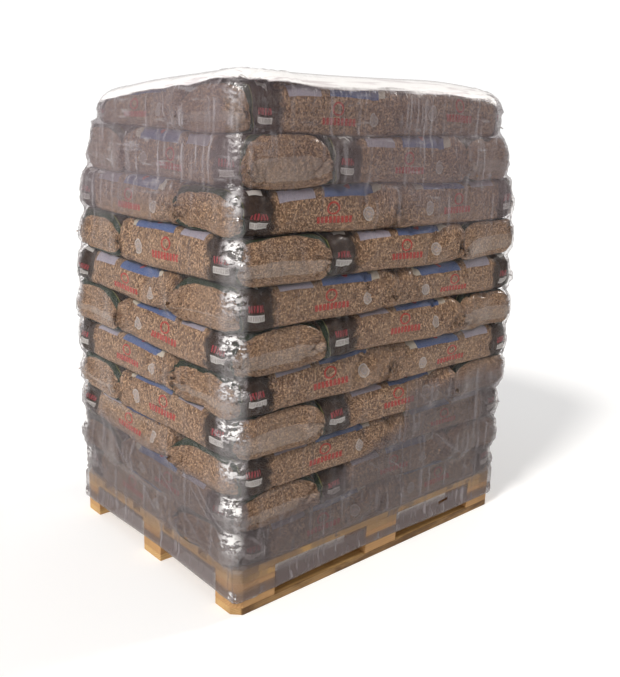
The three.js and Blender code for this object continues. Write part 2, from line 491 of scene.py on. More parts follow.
def addCloth(sack, pressure):
    cloth = sack.modifiers.new("Cloth", "CLOTH")
    cloth.point_cache.frame_end = press["frames"]
    cloth.collision_settings.use_collision = True
    cloth.collision_settings.distance_min = press["gap"]
    cloth.collision_settings.use_self_collision = False
    settings = cloth.settings
    settings.quality = press["quality"]
    settings.mass = press["mass"]
    stiffness = press["stiffness"] + pressure
    settings.tension_stiffness = stiffness
    settings.compression_stiffness = stiffness
    settings.shear_stiffness = stiffness / 2
    settings.bending_stiffness = press["bending"]
    settings.air_damping = 1
    settings.use_pressure = True
    settings.uniform_pressure_force = pressure
    settings.effector_weights.gravity = 0


# The sack is blown up between two plates while four walls close in on it, as its neighbours do in the stack
def pressSack(sack, pressure):
    box, frames, still = press["box"], press["frames"], press["stillFrames"]
    walls = [addWall((0, 0, box[2] / 2), (0, 0, -1)), addWall((0, 0, -box[2] / 2), (0, 0, 1))]
    closing = []
    for axis, flatSize in enumerate((sackMake["flatLength"], sackMake["flatWidth"])):
        far = flatSize / 2 + press["wallRoom"][axis]
        for sign in (-1, 1):
            normal = [0, 0, 0]
            normal[axis] = -sign
            wall = addWall((0, 0, 0), normal)
            walls.append(wall)
            closing.append((wall, axis, sign * far, sign * box[axis] / 2))
    addCloth(sack, pressure)
    scene.frame_start, scene.frame_end = 1, frames
    for step in range(1, frames + 1):
        closed = min(1, max(0, (step - still) / (frames - 2 * still)))
        for wall, axis, far, near in closing:
            wall.location[axis] = far + (near - far) * closed
        scene.frame_set(step)
    shaped = bpy.data.meshes.new_from_object(sack.evaluated_get(bpy.context.evaluated_depsgraph_get()))
    for wall in walls:
        bpy.data.objects.remove(wall)
    scene.frame_set(1)
    return shaped


def makeSackShapes():
    shapes = []
    for seed, pressure in enumerate(press["pressures"]):
        sack = startSack(seed, sackMake["steps"], sackMake["startSection"])
        mesh = pressSack(sack, pressure)
        bpy.data.objects.remove(sack)
        shapes.append(mesh)
        report(f"sack shape {seed + 1}")
    return shapes


def plainSackShape():
    sack = startSack(9, sackMake["plainSteps"], sackMake["fullSection"])
    mesh = sack.data
    bpy.data.objects.remove(sack)
    return mesh


# Each sack's place in its layer, as [x, y, size along x, size along y, turn of its head in degrees]
def sackPlaces(layer, halfLength):
    short = halfLength / 2
    side = -1 if layer % 2 == 0 else 1
    headToBack = -90 if side < 0 else 90
    return [
        [-short, side * short, halfLength, short, 0],
        [short, side * short, halfLength, short, 180],
        [-1.5 * short, -side * short / 2, short, halfLength, headToBack],
        [1.5 * short, -side * short / 2, short, halfLength, headToBack],
        [0, 0, halfLength, short, 0],
        [0, -side * short, halfLength, short, 0],
    ]


# The joint between two layers isn't level: a slow wave for each joint, none on the deck
def jointWave(joint, x, y):
    if joint == 0:
        return np.zeros_like(x)
    phase = joint * 2.4
    wave = np.sin(5.3 * x + phase) * np.cos(4.1 * y - 1.7 * phase)
    wave = wave + 0.6 * np.sin(9.7 * x - 1.3 * phase + 2 * y) + 0.5 * np.sin(8.9 * y + 2.1 * phase - x)
    return sackMake["undulation"] * wave


layerNames = sorted(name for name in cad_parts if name.startswith("sack_layer"))
layerBoxes = [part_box(name) for name in layerNames]
joints = [layerBoxes[0][0].z] + [high.z for low, high in layerBoxes]

# The load's top as the film leaves it: round at its edges, and drooping at its corners by a depth that fades
# over a reach. The last two places are raised
crown = {
    "radius": 0.078,
    "lift": 0.012,
    "cornerDroop": {
        (-1, 1): (0.085, 0.31), (1, -1): (0.085, 0.095), (1, 1): (0.085, 0.18), (-1, -1): (0.012, 0.08),
        (0.35, -1): (-0.011, 0.28), (-1, -0.75): (-0.019, 0.13),
    },
    "sackCornerDroop": {(-1, -1): (0.05, 0.12)},
    "underFilm": 0.006,
    "edgeDrop": 0.022,
}


def droop(x, y, halfX, halfY, corners):
    total = np.zeros_like(x)
    for (signX, signY), (depth, reach) in corners.items():
        distance = np.hypot(x - signX * halfX, y - signY * halfY)
        total += depth * np.exp(-distance / reach)
    return total


# The top of the uppermost sacks, below the film
def sackCrown(x, y, halfX, halfY):
    inset = np.minimum(halfX - np.abs(x), halfY - np.abs(y))
    edge = crown["edgeDrop"] * (1 - smoothStep(inset, -0.02, 0.09))
    corners = droop(x, y, halfX, halfY, crown["cornerDroop"])
    corners = corners + droop(x, y, halfX, halfY, crown["sackCornerDroop"])
    return joints[-1] + crown["lift"] - crown["underFilm"] - edge - corners


# The stack's corners are round in plan, the upper ones most
def roundCorners(x, y, halfLength, halfWidth, radius):
    beyondX = np.maximum(np.abs(x) - halfLength + radius, 0)
    beyondY = np.maximum(np.abs(y) - halfWidth + radius, 0)
    longer = np.maximum(beyondX, beyondY)
    share = np.where(longer > 0, longer / np.maximum(np.hypot(beyondX, beyondY), 1e-9), 1)
    return x - np.sign(x) * beyondX * (1 - share), y - np.sign(y) * beyondY * (1 - share)


def layerRound(layer):
    fromTop = len(layerBoxes) - 1 - layer
    return sackMake["upperRound"][1 - fromTop] if fromTop < 2 else sackMake["cornerRound"]


# Fits a blown shape, whose points run from -1 to 1, into its place in the stack
def fitSack(points, layer, number, place, seed):
    x, y, sizeX, sizeY, turn = place
    halfLength, halfWidth = (value - sackMake["inset"] for value in layerBoxes[layer][1].xy)
    along, across = (sizeX, sizeY) if turn % 180 == 0 else (sizeY, sizeX)
    points[:, :2] *= 1 + sackMake["fullCorners"] * points[:, :1] ** 2 * points[:, 1:2] ** 2
    points[:, 0] *= along / 2
    points[:, 1] *= across / 2
    angle = math.radians(turn + sackMake["turn"] * math.sin(seed * 3.7))
    cosine, sine = math.cos(angle), math.sin(angle)
    turnedX = points[:, 0] * cosine - points[:, 1] * sine + x
    turnedY = points[:, 0] * sine + points[:, 1] * cosine + y
    # The filling sags, so each sack is widest low down and slopes off above
    roundness = 1 - points[:, 2] ** 2
    share = (points[:, 2] - sackMake["sag"] * roundness + 1) / 2
    bulge = sackMake["bulge"] * (1 + 0.6 * math.sin(seed * 5.1)) * roundness
    for turned, half in ((turnedX, halfLength), (turnedY, halfWidth)):
        turned += np.sign(turned) * bulge * smoothStep(np.abs(turned), half - sackMake["faceDepth"], half)
    shiftOut = sackMake["shiftOut"] * math.sin(seed * 7.7)
    if number in crossSacks:
        turnedX += np.sign(x) * shiftOut
    elif number != middleSack:
        turnedY += np.sign(y) * shiftOut
    turnedX, turnedY = roundCorners(turnedX, turnedY, halfLength, halfWidth, layerRound(layer))
    bottom = joints[layer] + jointWave(layer, turnedX, turnedY)
    top = joints[layer + 1] + jointWave(layer + 1, turnedX, turnedY)
    if layer == len(layerBoxes) - 1:
        top = sackCrown(turnedX, turnedY, halfLength, halfWidth)
    return np.stack((turnedX, turnedY, bottom + (top - bottom) * share), axis=1)


def placeSack(shape, layer, number, place):
    mesh = shape.copy()
    points = getPoints(mesh)
    points = points / np.abs(points).max(axis=0)
    code = (layer * 7 + number * 3) % 4
    flipAlong, flipAcross = code % 2 == 1, code // 2 == 1
    if flipAlong:
        points[:, 0] *= -1
    if flipAcross:
        points[:, 1] *= -1
    seed = layer * 6.1 + number * 2.3
    setPoints(mesh, fitSack(points, layer, number, place, seed))
    if flipAlong != flipAcross:
        mesh.flip_normals()
    shiftPrint(mesh, flipAlong, seed, sackPrint["crossShift"] if number in crossSacks else 0)
    mesh.shade_smooth()
    mesh.materials.clear()
    mesh.materials.append(sackFilm)
    name = f"sack_{layer + 1:02d}_{number + 1}"
    mesh.name = name
    piece = linkPiece(name, mesh)
    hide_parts(layerNames[layer])
    return piece


# The print starts at the head, and each sack shows other pellets
def shiftPrint(mesh, flipped, seed, towardsHead):
    length, stretched = sackMake["flatLength"], sackMake["stretchedLength"]
    uvs = np.empty(len(mesh.loops) * 2)
    printMap = mesh.uv_layers["print"]
    printMap.data.foreach_get("uv", uvs)
    uvs = uvs.reshape(-1, 2)
    if flipped:
        uvs[:, 0] = length - uvs[:, 0]
    # The ends are drawn out when the sack fills, and the pellets behind them aren't
    fill = mesh.uv_layers.new(name="fill")
    filled = uvs + (seed * 0.731 % 9, seed * 1.137 % 9)
    filled[:, 0] -= sackMake["endStretch"] * np.maximum(0, stretched - uvs[:, 0])
    filled[:, 0] += sackMake["endStretch"] * np.maximum(0, uvs[:, 0] - length + stretched)
    fill.data.foreach_set("uv", filled.ravel())
    uvs[:, 0] += sackPrint["wander"][0] * math.sin(seed * 4.3) - towardsHead
    uvs[:, 1] += sackPrint["wander"][1] * math.sin(seed * 9.1)
    printMap.data.foreach_set("uv", uvs.ravel())


# Pellets seen through the sack: short cylinders in every direction, layer over layer. Sizes are in cells
pelletLook = {
    "cell": 0.0057,
    "radius": 0.28,
    "halfLength": 0.6,
    "bluntness": 2.5,
    "swell": 0.45,
    "layers": 4,
    "lowest": 0.25,
    "layerStep": 0.16,
    "unevenness": 0.2,
    "pale": (0.53, 0.34, 0.203),
    "middle": (0.2, 0.112, 0.063),
    "brown": (0.095, 0.051, 0.03),
    # The gap colour is painted shade: pellets darken towards it at their edges, between them and in the lower
    # layers
    "gap": (0.033, 0.019, 0.012),
    "dust": (0.27, 0.17, 0.1),
}


def pelletPattern(paint):
    look = pelletLook
    place = paint.scaled(paint.uvMap("fill"), 1 / look["cell"])
    height, tint = None, None
    for layer in range(look["layers"]):
        shifted = paint.vector("ADD", place, (layer * 3.37, layer * 7.91, 0))
        cells = {"Vector": shifted, "Scale": 1.0}
        outputs = ("Color", "Position")
        colour, centre = paint.add("ShaderNodeTexVoronoi", {"voronoi_dimensions": "2D"}, cells, outputs)
        turn, lift, shade = paint.separate(colour)
        turning = {"Vector": paint.vector("SUBTRACT", shifted, centre), "Angle": turn * math.tau}
        x, y = paint.separate(paint.add("ShaderNodeVectorRotate", {"rotation_type": "Z_AXIS"}, turning))[:2]
        beyond = paint.larger(abs(x) - look["halfLength"], 0) * look["bluntness"]
        square = (beyond ** 2 + y ** 2) / look["radius"] ** 2
        profile = paint.maths("SQRT", paint.larger(1 - square, 0))
        depth = look["lowest"] + look["layerStep"] * layer
        level = (profile > 0.02) * (profile * look["swell"] + depth + lift * look["unevenness"])
        if height is None:
            height, tint = level, shade
        else:
            tint = tint + (shade - tint) * (level > height)
            height = paint.larger(height, level)
    return height, tint


# The print, by u, which runs along the sack from its head, and s, which runs round it: 0 in the middle of one
# face, 0.2075 on its edge. A rectangle has its two ends along u, and then along s
sackPrint = {
    "crossShift": 0.013,  # towards the head, on the sacks that lie across
    "wander": (0.005, 0.008),
    "band": (0.045, 0.063),
    "bandEdge": (0.0625, 0.065),
    "label": (0.063, 0.183),
    "labelBlocks": (0.09, 0.15, 0.178, 0.194),
    "ticket": (0.09, 0.15, 0.201, 0.22),
    "ticketBars": (0.204, 0.217),
    "upperTicket": (0.096, 0.144, 0.118, 0.138),
    "upperBlocks": (0.096, 0.144, 0.096, 0.111),
    "row": (0.33, 0.475, 0.199, 0.218),
    "ring": (0.4, 0.18),
    "ringWidth": 0.58,  # how it is drawn out along u
    "disc": (0.55, 0.2),
    "panel": (0.42, 0.63),
    "panelSlant": 0.35,
    "flash": (0.63, 0.66, 0.06, 0.155),
    "dot": (0.52, 0.13),
    "plate": (0.205, 0.33, 0.128, 0.157),
    "blockWave": 620,  # radians in a metre
    "rowWave": 392.7,
    "barWaves": (1500, 2310),
    "green": (0.016, 0.026, 0.014),
    "yellow": (0.13, 0.13, 0.04),
    "brown": (0.014, 0.0075, 0.006),
    "red": (0.36, 0.026, 0.022),
    "labelRed": (0.3, 0.035, 0.045),
    "upperRed": (0.34, 0.04, 0.05),
    "blue": (0.06, 0.105, 0.245),
    "white": (0.45, 0.43, 0.41),
    "cream": (0.5, 0.46, 0.38),
    "lilac": (0.3, 0.285, 0.35),
    # Pale of the crumpled film near the welds: a painted highlight
    "creaseGlint": (0.38, 0.33, 0.29),
}


def sackMaterial():
    marks, look = sackPrint, pelletLook
    paint = Paint("clear_sack_of_pellets")
    height, tint = pelletPattern(paint)
    stops = [(0, look["brown"]), (0.45, look["middle"]), (1, look["pale"])]
    pellets = paint.add("ShaderNodeValToRGB", {"stops": stops}, {0: tint})
    place = paint.objectPlace()
    dust = paint.noise(place, 6.0, 2, 0.55)
    u, v = paint.separate(paint.uvMap("print"))[:2]
    s = abs(v - sackMake["flatWidth"])

    def wave(perMetre):
        return paint.maths("SINE", u * perMetre)

    # Dark label with its blocks and its plain tickets of bars, and a band round the head
    wobble = paint.noise(place, 45.0, 2) - 0.5
    head, foot = marks["label"]
    label = paint.rise(u, head - 0.001, head + 0.001)
    label = label * paint.rise(u + wobble * 0.06, foot + 0.014, foot - 0.014)
    labelBlocks = paint.rise(wave(marks["blockWave"]), -0.35, -0.1)
    bars = paint.rise(wave(marks["barWaves"][0]) + wave(marks["barWaves"][1]), 0.3, 0.5)
    bars = bars * paint.between(s, *marks["ticketBars"])
    band = paint.between(u, *marks["band"])
    # Marks in the middle: a ring over a row of plain blocks, and a disc
    row = paint.inside(u, s, marks["row"]) * paint.rise(wave(marks["rowWave"]), -0.75, -0.5)
    ring = paint.distance((u - marks["ring"][0]) * marks["ringWidth"], s - marks["ring"][1])
    ring = paint.between(ring, 0.0105, 0.0145)
    disc = paint.distance(u - marks["disc"][0], s - marks["disc"][1])
    # Coloured panel on the broad faces
    slant = u + s * marks["panelSlant"]
    panel = paint.between(slant, *marks["panel"]) * paint.rise(s, 0.158, 0.156)
    dot = paint.distance(slant - marks["dot"][0], s - marks["dot"][1])
    # Crumpled film near the welds is painted pale: a painted highlight on its creases and along the weld
    fromEnd = paint.smaller(u, sackMake["flatLength"] - u)
    creaseGlint = paint.noise(paint.combine(u * 6, v * 60, 0), 1.0, 2, 0.6)
    pale = paint.rise(fromEnd, 0.04, 0.0) * paint.rise(creaseGlint, 0.5, 0.7) * 0.1
    pale = paint.larger(pale, paint.rise(fromEnd, 0.0035, 0.0015) * (0.1 + 0.5 * creaseGlint))
    # Pellets darken towards the gap colour by their height: painted shade at their edges and in the lower
    # layers
    colour = paint.coats(
        paint.mixColour(paint.rise(height, 0.25, 1.35), look["gap"], pellets),
        (paint.rise(dust, 0.45, 0.75) * 0.25, look["dust"]),
        (label * 0.92, marks["brown"]),
        (paint.inside(u, s, marks["labelBlocks"]) * labelBlocks * 0.8, marks["labelRed"]),
        (paint.inside(u, s, marks["ticket"]) * (1 - bars * 0.8), marks["white"]),
        (paint.inside(u, s, marks["upperTicket"]), marks["white"]),
        (paint.inside(u, s, marks["upperBlocks"]) * labelBlocks * 0.8, marks["upperRed"]),
        (band, marks["green"]),
        (paint.between(u, *marks["bandEdge"]), marks["yellow"]),
        (paint.larger(row, ring) * 0.9, marks["red"]),
        (paint.rise(disc, 0.0195, 0.0185) * 0.4, marks["white"]),
        (paint.between(disc, 0.0155, 0.0185) * 0.6, marks["white"]),
        (paint.between(disc, 0.006, 0.0085) * 0.5, marks["lilac"]),
        (panel * 0.92, marks["blue"]),
        (paint.inside(slant, s, marks["flash"]) * 0.85, marks["cream"]),
        (paint.rise(dot, 0.012, 0.011) * 0.8, marks["red"]),
        (paint.inside(u, s, marks["plate"]) * 0.85, marks["lilac"]),
        (pale, marks["creaseGlint"]),
    )
    printed = paint.larger(paint.larger(label, band), panel)
    wrinkle = paint.noise(place, 55.0, 2, 0.6)
    bumpHeight = height * (1 - printed * 0.75) * 0.5 + wrinkle * 0.5
    return paint.finish(paint.principled({
        "Base Color": colour,
        "Roughness": 0.58 - printed * 0.1,
        "Specular IOR Level": 0.15,
        "Coat Weight": 0.2 - printed * 0.14,
        "Coat Roughness": 0.12,
        "Normal": paint.bump(bumpHeight, 0.0022, 0.9),
    }))


sackFilm = sackMaterial()
sackShapes = makeSackShapes()
plainSack = plainSackShape()
sackPieces = []
for layer, (low, high) in enumerate(layerBoxes):
    for number, place in enumerate(sackPlaces(layer, high.x - sackMake["inset"])):
        hidden = number == middleSack and layer < len(layerBoxes) - 1
        shape = plainSack if hidden else sackShapes[(layer * 5 + number) % len(sackShapes)]
        sackPieces.append(placeSack(shape, layer, number, place))
for mesh in sackShapes + [plainSack]:
    bpy.data.meshes.remove(mesh)
report("sacks")


# Stretch film
wrap = {
    "gap": 0.0014,
    "thickness": 0.0008,
    "outside": 0.004,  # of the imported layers
    "palletGap": 0.0012,
    "cornerRadius": 0.082,
    "topCornerRadius": 0.15,
    "footCornerRadius": 0.03,
    "cornerSteps": 14,
    "cornerReach": 0.12,
    "stepsLong": 66,
    "stepsShort": 47,
    "rowStep": 0.0118,
    "shoulderRows": 8,
    "topRows": 24,
    "bottom": 0.05,
    "hemHeight": 0.034,
    "hemSwell": 0.004,
    "startOut": 0.1,
    "rayLength": 0.6,
    "mergeDistance": 0.0004,
    "relaxSteps": 260,
    "sidePull": 0.0014,
    "cornerPull": 0.0055,
    "topPull": 0.0002,
    "diagonalRipple": 0.0006,
    "uprightRipple": 0.0004,
    "levelRipple": 0.0005,
    "crumple": 0.0045,
}


# Points round a rectangle with rounded corners, with their outward directions and corner shares
def wrapOutline(reachX, reachY, radius):
    places, outwards, cornerShares = [], [], []
    corners = [(1, -1, -90), (1, 1, 0), (-1, 1, 90), (-1, -1, 180)]
    for index, (signX, signY, start) in enumerate(corners):
        centre = Vector((signX * (reachX - radius), signY * (reachY - radius)))
        for step in range(wrap["cornerSteps"] + 1):
            angle = math.radians(start + 90 * step / wrap["cornerSteps"])
            outward = Vector((math.cos(angle), math.sin(angle)))
            places.append(centre + radius * outward)
            outwards.append(outward)
            cornerShares.append(1.0)
        nextX, nextY = corners[(index + 1) % 4][:2]
        end = Vector((nextX * (reachX - radius), nextY * (reachY - radius))) + radius * outwards[-1]
        begin = places[-1]
        count = wrap["stepsLong"] if index % 2 else wrap["stepsShort"]
        for step in range(1, count):
            places.append(begin.lerp(end, step / count))
            outwards.append(outwards[-1].copy())
            fromCorner = min(step, count - step) / count * (end - begin).length
            cornerShares.append(max(0, 1 - fromCorner / wrap["cornerReach"]))
    return np.array(places), np.array(outwards), np.array(cornerShares)


def buildTree(pieces):
    points, faces, base = [], [], 0
    for piece in pieces:
        mesh = piece.data
        points.extend(getPoints(mesh).tolist())
        faces.extend([[index + base for index in polygon.vertices] for polygon in mesh.polygons])
        base += len(mesh.vertices)
    return BVHTree.FromPolygons(points, faces)


widest = max((high for low, high in layerBoxes), key=lambda high: high.x)
halfX, halfY = widest.x + wrap["outside"], widest.y + wrap["outside"]
outline, outward, cornerShare = wrapOutline(halfX, halfY, wrap["cornerRadius"])
layerMiddles = [(low.z + high.z) / 2 for low, high in layerBoxes]
layerShares = [(high.x + wrap["outside"]) / halfX for low, high in layerBoxes]
topHalfX, topHalfY = halfX * layerShares[-1], halfY * layerShares[-1]
topOutline = wrapOutline(topHalfX, topHalfY, wrap["topCornerRadius"])[0]
footOutline = wrapOutline(halfX, halfY, wrap["footCornerRadius"])[0]
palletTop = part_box("deck_board_1")[1].z
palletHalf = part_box("deck_board_1")[1].x


def crownHeight(x, y):
    return joints[-1] + crown["lift"] - droop(x, y, topHalfX, topHalfY, crown["cornerDroop"])


# The film's rows and columns before it is drawn in: each ray's start, its direction and how far it may go
def filmRays():
    radius = crown["radius"]
    inner = topOutline - outward * radius
    shoulder = crownHeight(*inner.T) - radius
    sideRows = round((shoulder.max() - wrap["bottom"]) / wrap["rowStep"])
    starts, directions, free = [], [], []
    for row in range(sideRows + 1):
        height = wrap["bottom"] + (shoulder - wrap["bottom"]) * row / sideRows
        share = np.interp(height, layerMiddles, layerShares)
        rounding = smoothStep(height, layerMiddles[-3], layerMiddles[-1])[:, None]
        squaring = smoothStep(height, joints[0] + 0.09, joints[0])[:, None]
        lower = outline * (1 - squaring) + footOutline * squaring
        places = lower * share[:, None] * (1 - rounding) + topOutline * rounding
        directions.append(np.column_stack((-outward, np.zeros(len(outline)))))
        starts.append(np.column_stack((places + outward * wrap["startOut"], height)))
        free.append(np.full(len(outline), np.inf))
    for row in range(1, wrap["shoulderRows"] + 1):
        angle = math.pi / 2 * row / wrap["shoulderRows"]
        direction = np.column_stack((-outward * math.cos(angle), np.full(len(outline), -math.sin(angle))))
        centre = np.column_stack((inner, shoulder))
        directions.append(direction)
        starts.append(centre - direction * (radius + wrap["startOut"]))
        free.append(np.full(len(outline), wrap["startOut"]))
    for row in range(1, wrap["topRows"] + 1):
        distance = radius + (topHalfY - radius) * row / wrap["topRows"]
        share = np.array([(half - distance) / (half - radius) for half in (topHalfX, topHalfY)])
        places = inner * share
        height = crownHeight(*places.T)
        directions.append(np.tile((0.0, 0.0, -1.0), (len(outline), 1)))
        starts.append(np.column_stack((places, height + wrap["startOut"])))
        free.append(np.full(len(outline), wrap["startOut"]))
    return np.array(starts), np.array(directions), np.array(free), sideRows + 1


def castFilm(tree, starts, directions):
    hits = np.full(starts.shape[:2], wrap["rayLength"])
    for row in range(starts.shape[0]):
        for column in range(starts.shape[1]):
            start, direction = Vector(starts[row, column]), Vector(directions[row, column])
            distance = tree.ray_cast(start, direction, wrap["rayLength"])[3]
            if distance is not None:
                hits[row, column] = distance
    return hits


def shifted(field, rows, columns):
    moved = np.roll(field, columns, 1)
    if rows > 0:
        return np.vstack((moved[rows:], moved[-rows:]))
    if rows < 0:
        return np.vstack((moved[:-rows], moved[:rows]))
    return moved


# The film is stretched between the sacks' high places and is drawn in a little between them
def relaxFilm(hits, free, sideRows, onPallet):
    nearest = hits.copy()
    for rows, columns in ((0, 1), (0, -1), (1, 0), (-1, 0), (1, 1), (1, -1), (-1, 1), (-1, -1)):
        nearest = np.minimum(nearest, shifted(hits, rows, columns))
    limit = np.minimum(nearest - wrap["gap"], free)
    foot = wrap["startOut"] + halfX * layerShares[0] - palletHalf - wrap["palletGap"]
    limit[onPallet] = foot
    pull = np.tile(wrap["sidePull"] + (wrap["cornerPull"] - wrap["sidePull"]) * cornerShare, (len(limit), 1))
    pull[sideRows:] = wrap["topPull"]
    field = limit.copy()
    for step in range(4):
        spread = np.minimum(shifted(field, 0, 1), shifted(field, 0, -1))
        spread = np.minimum(spread, np.minimum(shifted(field, 1, 0), shifted(field, -1, 0)))
        field = np.minimum(limit, spread)
    for step in range(wrap["relaxSteps"]):
        across = (shifted(field, 0, 1) + shifted(field, 0, -1)) / 2
        upright = (shifted(field, 1, 0) + shifted(field, -1, 0)) / 2
        field = np.minimum(limit, (across + upright) / 2 + pull)
        field[onPallet] = foot
    return field


# Fine waves of the film, slanting, upright and level
def filmRipples(starts):
    x, y, z = starts[..., 0], starts[..., 1], starts[..., 2]
    run = np.where(np.abs(y) > halfY - 0.05, x, y)
    diagonal = np.sin(38 * (run + 0.7 * z) + 3 * np.sin(9 * z)) * np.sin(11 * run - 4 * z + 1)
    upright = np.sin(95 * run + 4 * np.sin(7 * z + run * 3)) * (0.5 + 0.5 * np.sin(6 * run + 2 * z))
    level = np.sin(140 * z + 5 * np.sin(6 * run)) * (0.5 + 0.5 * np.sin(5 * run + 3 * z))
    return wrap["diagonalRipple"] * diagonal + wrap["uprightRipple"] * upright + wrap["levelRipple"] * level


# Gathered film at the upright edges, in small facets that stand off the sacks
def cornerCrumple(starts):
    rough = np.zeros(starts.shape[:2])
    for row in range(rough.shape[0]):
        for column in np.flatnonzero(cornerShare > 0.5):
            place = Vector(starts[row, column])
            rough[row, column] = abs(noise.noise(place * 60)) + 0.6 * abs(noise.noise(place * 130))
    return wrap["crumple"] * rough


# The lower edge is rolled into a wavy hem
def rollHem(points, starts, sideRows):
    for row in range(sideRows):
        share = (starts[row, 0, 2] - wrap["bottom"]) / wrap["hemHeight"]
        if share > 1:
            break
        swell = wrap["hemSwell"] * math.sin(math.pi * min(1, share * 1.15)) + 0.0006
        wave = 1 + 0.4 * np.sin(outline[:, 0] * 23) * np.cos(outline[:, 1] * 19)
        points[row, :, :2] += outward * (swell * wave)[:, None]
        points[row, :, 2] += 0.004 * np.sin(outline[:, 0] * 7 + outline[:, 1] * 9)


def buildFilm(tree):
    starts, directions, free, sideRows = filmRays()
    hits = castFilm(tree, starts, directions)
    onPallet = starts[..., 2] < palletTop + 0.002
    onPallet[sideRows:] = False
    field = relaxFilm(hits, free, sideRows, onPallet)
    field = field - np.abs(filmRipples(starts)) - cornerCrumple(starts)
    points = starts + directions * field[..., None]
    rollHem(points, starts, sideRows)
    rows, columns = field.shape
    bm = bmesh.new()
    bmesh.ops.create_grid(bm, x_segments=columns, y_segments=rows - 1, size=0.5)
    bm.verts.ensure_lookup_table()
    for vert in bm.verts:
        column = round((vert.co.x + 0.5) * columns) % columns
        row = round((vert.co.y + 0.5) * (rows - 1))
        vert.co = points[row, column]
    bmesh.ops.remove_doubles(bm, verts=bm.verts, dist=wrap["mergeDistance"])
    bmesh.ops.recalc_face_normals(bm, faces=bm.faces)
    mesh = bpy.data.meshes.new("stretch_wrap")
    bm.to_mesh(mesh)
    bm.free()
    mesh.shade_smooth()
    return mesh


# How milky the film is, from 0 to 1: many turns low down, several at the top, and one or two between
milk = {
    "between": 0.006,
    "lower": 0.34,
    "upper": 0.3,
    "pocket": 0.62,  # where it spans a pocket of the pallet
    "hem": 0.42,
    "lowEdge": 0.41,  # the height of the lower part on three sides, and then along the front
    "frontX": (-0.63, -0.3, 0.0, 0.07, 0.08, 0.63),
    "frontEdge": (0.24, 0.30, 0.42, 0.43, 0.56, 0.55),
    "highEdge": 1.17,
    "palletZ": (0.09, 0.1, 0.12, 0.16),  # it lies closely on the pallet, where the wood shows
    "palletShare": (0.4, 0.4, 0.6, 1),
    "endPocket": (0.2, 0.15),  # its distance from the middle, and half its width
    "sidePocket": (0.264, 0.19),
}


# The shares of the lower and the upper milky part
def milkyParts(x, z, run, front):
    lowEdge = milk["lowEdge"] + 0.02 * np.sin(4 * run + 1) - 0.045 * np.cos(2.5 * (run + 0.1))
    lowEdge = np.where(front, np.interp(x, milk["frontX"], milk["frontEdge"]), lowEdge)
    lower = 1 - smoothStep(z, lowEdge - 0.04, lowEdge + 0.04)
    highEdge = milk["highEdge"] - 0.08 * np.sin(3 * run + 0.4)
    upper = smoothStep(z, highEdge - 0.07, highEdge + 0.07)
    return lower, upper * np.where(front, 0.3 + 0.5 * smoothStep(x, -0.42, 0.1), 1)


# Film drawn together over the edges of the top, milky and painted white there as a highlight of the sun's
# glare: narrow at the near corner, less on the flat and at the right
def shoulderShare(x, y, z):
    rise = z - crownHeight(x, y)
    inset = np.minimum(topHalfX - np.abs(x), topHalfY - np.abs(y))
    nearCorner = np.exp(-np.hypot(x + topHalfX, y + topHalfY) / 0.16)
    share = smoothStep(rise, -0.055 + 0.03 * nearCorner, -0.02 + 0.012 * nearCorner)
    share = share * (1 - 0.6 * smoothStep(inset, 0.08, 0.16))
    return share * (1 - 0.7 * smoothStep(x, 0.3, 0.6) * smoothStep(-y, 0.1, 0.4))


# Where the film is gathered at the upright edges, and where it gets its flash, a painted highlight: above the
# middle of each layer, and on the hem near those edges
def gatheredShares(x, y, z, hem):
    reachX = np.where((x < 0) & (y < 0), 0.06, 0.08)
    wider = np.interp(z, (1.26, 1.4), (1, 1.6))
    edge = np.maximum((halfX - np.abs(x)) / reachX, (halfY - np.abs(y)) / 0.1) / wider
    crumple = (1 - smoothStep(edge, 0.5, 1)) * (0.25 + 0.75 * (z > palletTop))
    layer = np.clip(np.searchsorted(joints, z) - 1, 0, len(layerBoxes) - 1)
    lows, highs = np.array(joints[:-1]), np.array(joints[1:])
    level = (z - lows[layer]) / (highs[layer] - lows[layer])
    flash = crumple * (0.15 + 0.85 * smoothStep(level, 0.4, 0.65)) * (z > palletTop)
    flash = flash * np.where(layer % 2 == 0, 0.75, 1)
    return crumple, np.maximum(flash, hem * (edge < 0.4) * (z < 0.072))


def addHaze(mesh):
    x, y, z = getPoints(mesh).T
    onEnd = np.abs(x) > halfX - 0.06
    run = np.where(onEnd, y, x)
    lower, upper = milkyParts(x, z, run, ~onEnd & (y < 0))
    haze = milk["between"] + milk["lower"] * lower + milk["upper"] * upper
    haze = haze * np.interp(z, milk["palletZ"], milk["palletShare"])
    inEndPocket = np.abs(np.abs(y) - milk["endPocket"][0]) < milk["endPocket"][1]
    inSidePocket = np.abs(np.abs(x) - milk["sidePocket"][0]) < milk["sidePocket"][1]
    pocket = np.where(onEnd, inEndPocket, inSidePocket) * (1 - smoothStep(z, 0.112, 0.122))
    haze = np.maximum(haze, milk["pocket"] * pocket)
    hemTop = wrap["bottom"] + wrap["hemHeight"]
    hem = 1 - smoothStep(z, hemTop - 0.006, hemTop + 0.006)
    crumple, flash = gatheredShares(x, y, z, hem)
    shares = {
        "haze": np.maximum(haze, milk["hem"] * hem),
        "lower": np.maximum(lower, hem),
        "crumple": crumple,
        "shoulder": shoulderShare(x, y, z),
        "flash": flash,
    }
    for name, share in shares.items():
        attribute = mesh.attributes.new(name, "FLOAT", "POINT")
        attribute.data.foreach_set("value", share.astype(np.float32))


filmLook = {
    "veil": (0.25, 0.2, 0.213),
    "lowerVeil": (0.152, 0.124, 0.126),
    "streak": (0.5, 0.47, 0.49),
    "grazing": (0.14, 0.108, 0.095),
    # White of the painted highlights: the flashes, and the sunlit part of the shoulder
    "white": (0.98, 0.965, 0.955),
    "ridge": (0.55, 0.46, 0.48),
    "clear": (0.985, 0.98, 0.98, 1),
    "gloss": (1, 1, 1, 1),
    "densest": 0.94,
    "foldX": 0.075,
    "slit": (0.3, 0.35, 0.058, 0.068),
}
